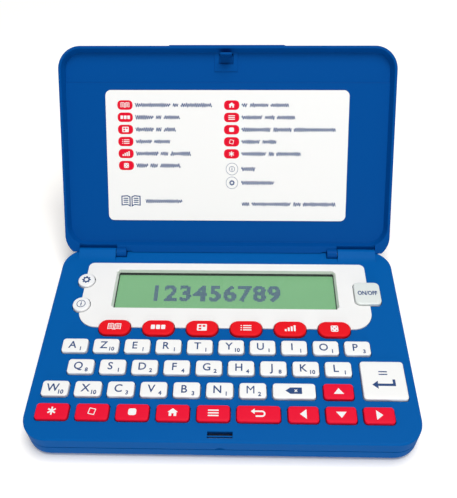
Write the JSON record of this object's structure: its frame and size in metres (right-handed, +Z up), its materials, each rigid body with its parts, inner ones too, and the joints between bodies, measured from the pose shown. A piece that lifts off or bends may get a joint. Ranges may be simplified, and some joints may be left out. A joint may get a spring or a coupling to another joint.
{
  "type": "electronic dictionary",
  "caption": "Pocket electronic dictionary: keyboard case with small display window, hinged lid open at its stop, moving keys and a battery hatch underneath.",
  "frame": {"origin": "middle of the case's flat underside, on the surface it stands on", "axes": "+X to the user's right along the hinge, +Y from the keyboard's front edge to the hinge, +Z up"},
  "size_m": [0.132, 0.1343, 0.076],
  "materials": {
    "case_blue": "injection-moulded ABS, fine satin texture",
    "lid_blue": "injection-moulded ABS, fine satin texture, slightly deeper blue",
    "bezel_white": "white ABS, soft gloss",
    "window_clear": "clear acrylic pane",
    "display_glass": "reflective liquid-crystal panel, green-grey",
    "board_green": "glass-epoxy board with solder mask",
    "mat_rubber": "translucent grey silicone rubber",
    "card_white": "coated card with printed panels",
    "steel": "plated steel",
    "key_white": "satin white ABS with printed legends",
    "key_red": "satin red ABS with printed legends",
    "oval_red": "softly glossy red ABS",
    "button_white": "softly glossy white ABS",
    "button_grey": "softly glossy pale grey ABS"
  },
  "bodies": {
    "case": {"lower_housing": "case_blue", "upper_housing": "case_blue", "display_bezel": "bezel_white", "display_window": "window_clear", "lcd_panel": "display_glass", "circuit_board": "board_green", "key_mat": "mat_rubber", "hinge_pins": "steel", "coin_cells": "steel", "case_screws": "steel"},
    "lid": {"lid": "lid_blue", "label_card": "card_white"},
    "battery_cover": {"battery_cover": "case_blue"},
    "key_a_cap": {"key_a": "key_white"},
    "key_z_cap": {"key_z": "key_white"},
    "key_e_cap": {"key_e": "key_white"},
    "key_r_cap": {"key_r": "key_white"},
    "key_t_cap": {"key_t": "key_white"},
    "key_y_cap": {"key_y": "key_white"},
    "key_u_cap": {"key_u": "key_white"},
    "key_i_cap": {"key_i": "key_white"},
    "key_o_cap": {"key_o": "key_white"},
    "key_p_cap": {"key_p": "key_white"},
    "key_q_cap": {"key_q": "key_white"},
    "key_s_cap": {"key_s": "key_white"},
    "key_d_cap": {"key_d": "key_white"},
    "key_f_cap": {"key_f": "key_white"},
    "key_g_cap": {"key_g": "key_white"},
    "key_h_cap": {"key_h": "key_white"},
    "key_j_cap": {"key_j": "key_white"},
    "key_k_cap": {"key_k": "key_white"},
    "key_l_cap": {"key_l": "key_white"},
    "key_w_cap": {"key_w": "key_white"},
    "key_x_cap": {"key_x": "key_white"},
    "key_c_cap": {"key_c": "key_white"},
    "key_v_cap": {"key_v": "key_white"},
    "key_b_cap": {"key_b": "key_white"},
    "key_n_cap": {"key_n": "key_white"},
    "key_m_cap": {"key_m": "key_white"},
    "key_erase_cap": {"key_erase": "key_white"},
    "key_up_cap": {"key_up": "key_red"},
    "key_enter_cap": {"key_enter": "key_white"},
    "key_back_cap": {"key_back": "key_red"},
    "key_star_cap": {"key_star": "key_red"},
    "key_tile_cap": {"key_tile": "key_red"},
    "key_block_cap": {"key_block": "key_red"},
    "key_home_cap": {"key_home": "key_red"},
    "key_menu_cap": {"key_menu": "key_red"},
    "key_left_cap": {"key_left": "key_red"},
    "key_down_cap": {"key_down": "key_red"},
    "key_right_cap": {"key_right": "key_red"},
    "function_key_1_cap": {"function_key_1": "oval_red"},
    "function_key_2_cap": {"function_key_2": "oval_red"},
    "function_key_3_cap": {"function_key_3": "oval_red"},
    "function_key_4_cap": {"function_key_4": "oval_red"},
    "function_key_5_cap": {"function_key_5": "oval_red"},
    "function_key_6_cap": {"function_key_6": "oval_red"},
    "button_settings_cap": {"button_settings": "button_white"},
    "button_info_cap": {"button_info": "button_white"},
    "button_power_cap": {"button_power": "button_grey"}
  },
  "joints": [
    {"name": "lid_hinge", "type": "hinge", "parent": "case", "child": "lid", "pos_m": [0, 0.03975, 0.0115], "axis": [1, 0, 0], "range_deg": [0, 127.6]},
    {"name": "battery_cover_hinge", "type": "hinge", "parent": "case", "child": "battery_cover", "pos_m": [0, 0.00775, 0], "axis": [-1, 0, 0], "range_deg": [0, 40]},
    {"name": "key_a_press", "type": "slide", "parent": "case", "child": "key_a_cap", "axis": [0, 0, -1], "range_m": [0, 0.0008], "stiffness_N_per_m": 625, "springref_m": -0.0005, "deforming": ["key_mat"]},
    {"name": "key_z_press", "type": "slide", "parent": "case", "child": "key_z_cap", "axis": [0, 0, -1], "range_m": [0, 0.0008], "stiffness_N_per_m": 625, "springref_m": -0.0005, "deforming": ["key_mat"]},
    {"name": "key_e_press", "type": "slide", "parent": "case", "child": "key_e_cap", "axis": [0, 0, -1], "range_m": [0, 0.0008], "stiffness_N_per_m": 625, "springref_m": -0.0005, "deforming": ["key_mat"]},
    {"name": "key_r_press", "type": "slide", "parent": "case", "child": "key_r_cap", "axis": [0, 0, -1], "range_m": [0, 0.0008], "stiffness_N_per_m": 625, "springref_m": -0.0005, "deforming": ["key_mat"]},
    {"name": "key_t_press", "type": "slide", "parent": "case", "child": "key_t_cap", "axis": [0, 0, -1], "range_m": [0, 0.0008], "stiffness_N_per_m": 625, "springref_m": -0.0005, "deforming": ["key_mat"]},
    {"name": "key_y_press", "type": "slide", "parent": "case", "child": "key_y_cap", "axis": [0, 0, -1], "range_m": [0, 0.0008], "stiffness_N_per_m": 625, "springref_m": -0.0005, "deforming": ["key_mat"]},
    {"name": "key_u_press", "type": "slide", "parent": "case", "child": "key_u_cap", "axis": [0, 0, -1], "range_m": [0, 0.0008], "stiffness_N_per_m": 625, "springref_m": -0.0005, "deforming": ["key_mat"]},
    {"name": "key_i_press", "type": "slide", "parent": "case", "child": "key_i_cap", "axis": [0, 0, -1], "range_m": [0, 0.0008], "stiffness_N_per_m": 625, "springref_m": -0.0005, "deforming": ["key_mat"]},
    {"name": "key_o_press", "type": "slide", "parent": "case", "child": "key_o_cap", "axis": [0, 0, -1], "range_m": [0, 0.0008], "stiffness_N_per_m": 625, "springref_m": -0.0005, "deforming": ["key_mat"]},
    {"name": "key_p_press", "type": "slide", "parent": "case", "child": "key_p_cap", "axis": [0, 0, -1], "range_m": [0, 0.0008], "stiffness_N_per_m": 625, "springref_m": -0.0005, "deforming": ["key_mat"]},
    {"name": "key_q_press", "type": "slide", "parent": "case", "child": "key_q_cap", "axis": [0, 0, -1], "range_m": [0, 0.0008], "stiffness_N_per_m": 625, "springref_m": -0.0005, "deforming": ["key_mat"]},
    {"name": "key_s_press", "type": "slide", "parent": "case", "child": "key_s_cap", "axis": [0, 0, -1], "range_m": [0, 0.0008], "stiffness_N_per_m": 625, "springref_m": -0.0005, "deforming": ["key_mat"]},
    {"name": "key_d_press", "type": "slide", "parent": "case", "child": "key_d_cap", "axis": [0, 0, -1], "range_m": [0, 0.0008], "stiffness_N_per_m": 625, "springref_m": -0.0005, "deforming": ["key_mat"]},
    {"name": "key_f_press", "type": "slide", "parent": "case", "child": "key_f_cap", "axis": [0, 0, -1], "range_m": [0, 0.0008], "stiffness_N_per_m": 625, "springref_m": -0.0005, "deforming": ["key_mat"]},
    {"name": "key_g_press", "type": "slide", "parent": "case", "child": "key_g_cap", "axis": [0, 0, -1], "range_m": [0, 0.0008], "stiffness_N_per_m": 625, "springref_m": -0.0005, "deforming": ["key_mat"]},
    {"name": "key_h_press", "type": "slide", "parent": "case", "child": "key_h_cap", "axis": [0, 0, -1], "range_m": [0, 0.0008], "stiffness_N_per_m": 625, "springref_m": -0.0005, "deforming": ["key_mat"]},
    {"name": "key_j_press", "type": "slide", "parent": "case", "child": "key_j_cap", "axis": [0, 0, -1], "range_m": [0, 0.0008], "stiffness_N_per_m": 625, "springref_m": -0.0005, "deforming": ["key_mat"]},
    {"name": "key_k_press", "type": "slide", "parent": "case", "child": "key_k_cap", "axis": [0, 0, -1], "range_m": [0, 0.0008], "stiffness_N_per_m": 625, "springref_m": -0.0005, "deforming": ["key_mat"]},
    {"name": "key_l_press", "type": "slide", "parent": "case", "child": "key_l_cap", "axis": [0, 0, -1], "range_m": [0, 0.0008], "stiffness_N_per_m": 625, "springref_m": -0.0005, "deforming": ["key_mat"]},
    {"name": "key_w_press", "type": "slide", "parent": "case", "child": "key_w_cap", "axis": [0, 0, -1], "range_m": [0, 0.0008], "stiffness_N_per_m": 625, "springref_m": -0.0005, "deforming": ["key_mat"]},
    {"name": "key_x_press", "type": "slide", "parent": "case", "child": "key_x_cap", "axis": [0, 0, -1], "range_m": [0, 0.0008], "stiffness_N_per_m": 625, "springref_m": -0.0005, "deforming": ["key_mat"]},
    {"name": "key_c_press", "type": "slide", "parent": "case", "child": "key_c_cap", "axis": [0, 0, -1], "range_m": [0, 0.0008], "stiffness_N_per_m": 625, "springref_m": -0.0005, "deforming": ["key_mat"]},
    {"name": "key_v_press", "type": "slide", "parent": "case", "child": "key_v_cap", "axis": [0, 0, -1], "range_m": [0, 0.0008], "stiffness_N_per_m": 625, "springref_m": -0.0005, "deforming": ["key_mat"]},
    {"name": "key_b_press", "type": "slide", "parent": "case", "child": "key_b_cap", "axis": [0, 0, -1], "range_m": [0, 0.0008], "stiffness_N_per_m": 625, "springref_m": -0.0005, "deforming": ["key_mat"]},
    {"name": "key_n_press", "type": "slide", "parent": "case", "child": "key_n_cap", "axis": [0, 0, -1], "range_m": [0, 0.0008], "stiffness_N_per_m": 625, "springref_m": -0.0005, "deforming": ["key_mat"]},
    {"name": "key_m_press", "type": "slide", "parent": "case", "child": "key_m_cap", "axis": [0, 0, -1], "range_m": [0, 0.0008], "stiffness_N_per_m": 625, "springref_m": -0.0005, "deforming": ["key_mat"]},
    {"name": "key_erase_press", "type": "slide", "parent": "case", "child": "key_erase_cap", "axis": [0, 0, -1], "range_m": [0, 0.0008], "stiffness_N_per_m": 625, "springref_m": -0.0005, "deforming": ["key_mat"]},
    {"name": "key_up_press", "type": "slide", "parent": "case", "child": "key_up_cap", "axis": [0, 0, -1], "range_m": [0, 0.0008], "stiffness_N_per_m": 625, "springref_m": -0.0005, "deforming": ["key_mat"]},
    {"name": "key_enter_press", "type": "slide", "parent": "case", "child": "key_enter_cap", "axis": [0, 0, -1], "range_m": [0, 0.0008], "stiffness_N_per_m": 625, "springref_m": -0.0005, "deforming": ["key_mat"]},
    {"name": "key_back_press", "type": "slide", "parent": "case", "child": "key_back_cap", "axis": [0, 0, -1], "range_m": [0, 0.0008], "stiffness_N_per_m": 625, "springref_m": -0.0005, "deforming": ["key_mat"]},
    {"name": "key_star_press", "type": "slide", "parent": "case", "child": "key_star_cap", "axis": [0, 0, -1], "range_m": [0, 0.0008], "stiffness_N_per_m": 625, "springref_m": -0.0005, "deforming": ["key_mat"]},
    {"name": "key_tile_press", "type": "slide", "parent": "case", "child": "key_tile_cap", "axis": [0, 0, -1], "range_m": [0, 0.0008], "stiffness_N_per_m": 625, "springref_m": -0.0005, "deforming": ["key_mat"]},
    {"name": "key_block_press", "type": "slide", "parent": "case", "child": "key_block_cap", "axis": [0, 0, -1], "range_m": [0, 0.0008], "stiffness_N_per_m": 625, "springref_m": -0.0005, "deforming": ["key_mat"]},
    {"name": "key_home_press", "type": "slide", "parent": "case", "child": "key_home_cap", "axis": [0, 0, -1], "range_m": [0, 0.0008], "stiffness_N_per_m": 625, "springref_m": -0.0005, "deforming": ["key_mat"]},
    {"name": "key_menu_press", "type": "slide", "parent": "case", "child": "key_menu_cap", "axis": [0, 0, -1], "range_m": [0, 0.0008], "stiffness_N_per_m": 625, "springref_m": -0.0005, "deforming": ["key_mat"]},
    {"name": "key_left_press", "type": "slide", "parent": "case", "child": "key_left_cap", "axis": [0, 0, -1], "range_m": [0, 0.0008], "stiffness_N_per_m": 625, "springref_m": -0.0005, "deforming": ["key_mat"]},
    {"name": "key_down_press", "type": "slide", "parent": "case", "child": "key_down_cap", "axis": [0, 0, -1], "range_m": [0, 0.0008], "stiffness_N_per_m": 625, "springref_m": -0.0005, "deforming": ["key_mat"]},
    {"name": "key_right_press", "type": "slide", "parent": "case", "child": "key_right_cap", "axis": [0, 0, -1], "range_m": [0, 0.0008], "stiffness_N_per_m": 625, "springref_m": -0.0005, "deforming": ["key_mat"]},
    {"name": "function_key_1_press", "type": "slide", "parent": "case", "child": "function_key_1_cap", "axis": [0, 0, -1], "range_m": [0, 0.0008], "stiffness_N_per_m": 625, "springref_m": -0.0005, "deforming": ["key_mat"]},
    {"name": "function_key_2_press", "type": "slide", "parent": "case", "child": "function_key_2_cap", "axis": [0, 0, -1], "range_m": [0, 0.0008], "stiffness_N_per_m": 625, "springref_m": -0.0005, "deforming": ["key_mat"]},
    {"name": "function_key_3_press", "type": "slide", "parent": "case", "child": "function_key_3_cap", "axis": [0, 0, -1], "range_m": [0, 0.0008], "stiffness_N_per_m": 625, "springref_m": -0.0005, "deforming": ["key_mat"]},
    {"name": "function_key_4_press", "type": "slide", "parent": "case", "child": "function_key_4_cap", "axis": [0, 0, -1], "range_m": [0, 0.0008], "stiffness_N_per_m": 625, "springref_m": -0.0005, "deforming": ["key_mat"]},
    {"name": "function_key_5_press", "type": "slide", "parent": "case", "child": "function_key_5_cap", "axis": [0, 0, -1], "range_m": [0, 0.0008], "stiffness_N_per_m": 625, "springref_m": -0.0005, "deforming": ["key_mat"]},
    {"name": "function_key_6_press", "type": "slide", "parent": "case", "child": "function_key_6_cap", "axis": [0, 0, -1], "range_m": [0, 0.0008], "stiffness_N_per_m": 625, "springref_m": -0.0005, "deforming": ["key_mat"]},
    {"name": "button_settings_press", "type": "slide", "parent": "case", "child": "button_settings_cap", "axis": [0, 0, -1], "range_m": [0, 0.0008], "stiffness_N_per_m": 625, "springref_m": -0.0005, "deforming": ["key_mat"]},
    {"name": "button_info_press", "type": "slide", "parent": "case", "child": "button_info_cap", "axis": [0, 0, -1], "range_m": [0, 0.0008], "stiffness_N_per_m": 625, "springref_m": -0.0005, "deforming": ["key_mat"]},
    {"name": "button_power_press", "type": "slide", "parent": "case", "child": "button_power_cap", "axis": [0, 0, -1], "range_m": [0, 0.0008], "stiffness_N_per_m": 625, "springref_m": -0.0005, "deforming": ["key_mat"]}
  ]
}
